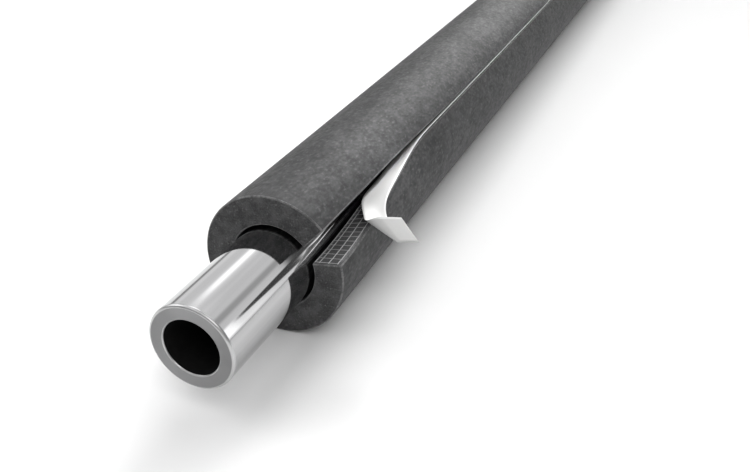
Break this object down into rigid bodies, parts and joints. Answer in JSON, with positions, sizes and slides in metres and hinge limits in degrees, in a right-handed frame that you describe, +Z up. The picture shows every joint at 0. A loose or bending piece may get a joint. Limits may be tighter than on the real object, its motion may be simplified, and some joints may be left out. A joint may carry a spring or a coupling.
{
  "type": "pipe insulation lagging",
  "caption": "Slit foam tube with a wide mouth at one end, an adhesive strip and a part-peeled paper liner, fitted on a length of polished steel pipe.",
  "frame": {"origin": "the lagging's underside, halfway along it, where it lies on a flat surface", "axes": "+Y along the pipe, away from the end where the slit is pulled open; +Z up; +X to the side the slit faces"},
  "size_m": [0.0826, 1.116, 0.0619],
  "materials": {
    "foam": "matt closed-cell foam",
    "adhesive": "glossy",
    "liner": "smooth coated paper",
    "pipe": "polished"
  },
  "bodies": {
    "root": {"foam_tube": "foam", "adhesive_strip": "adhesive", "release_liner": "liner", "steel_pipe": "pipe"}
  },
  "joints": []
}
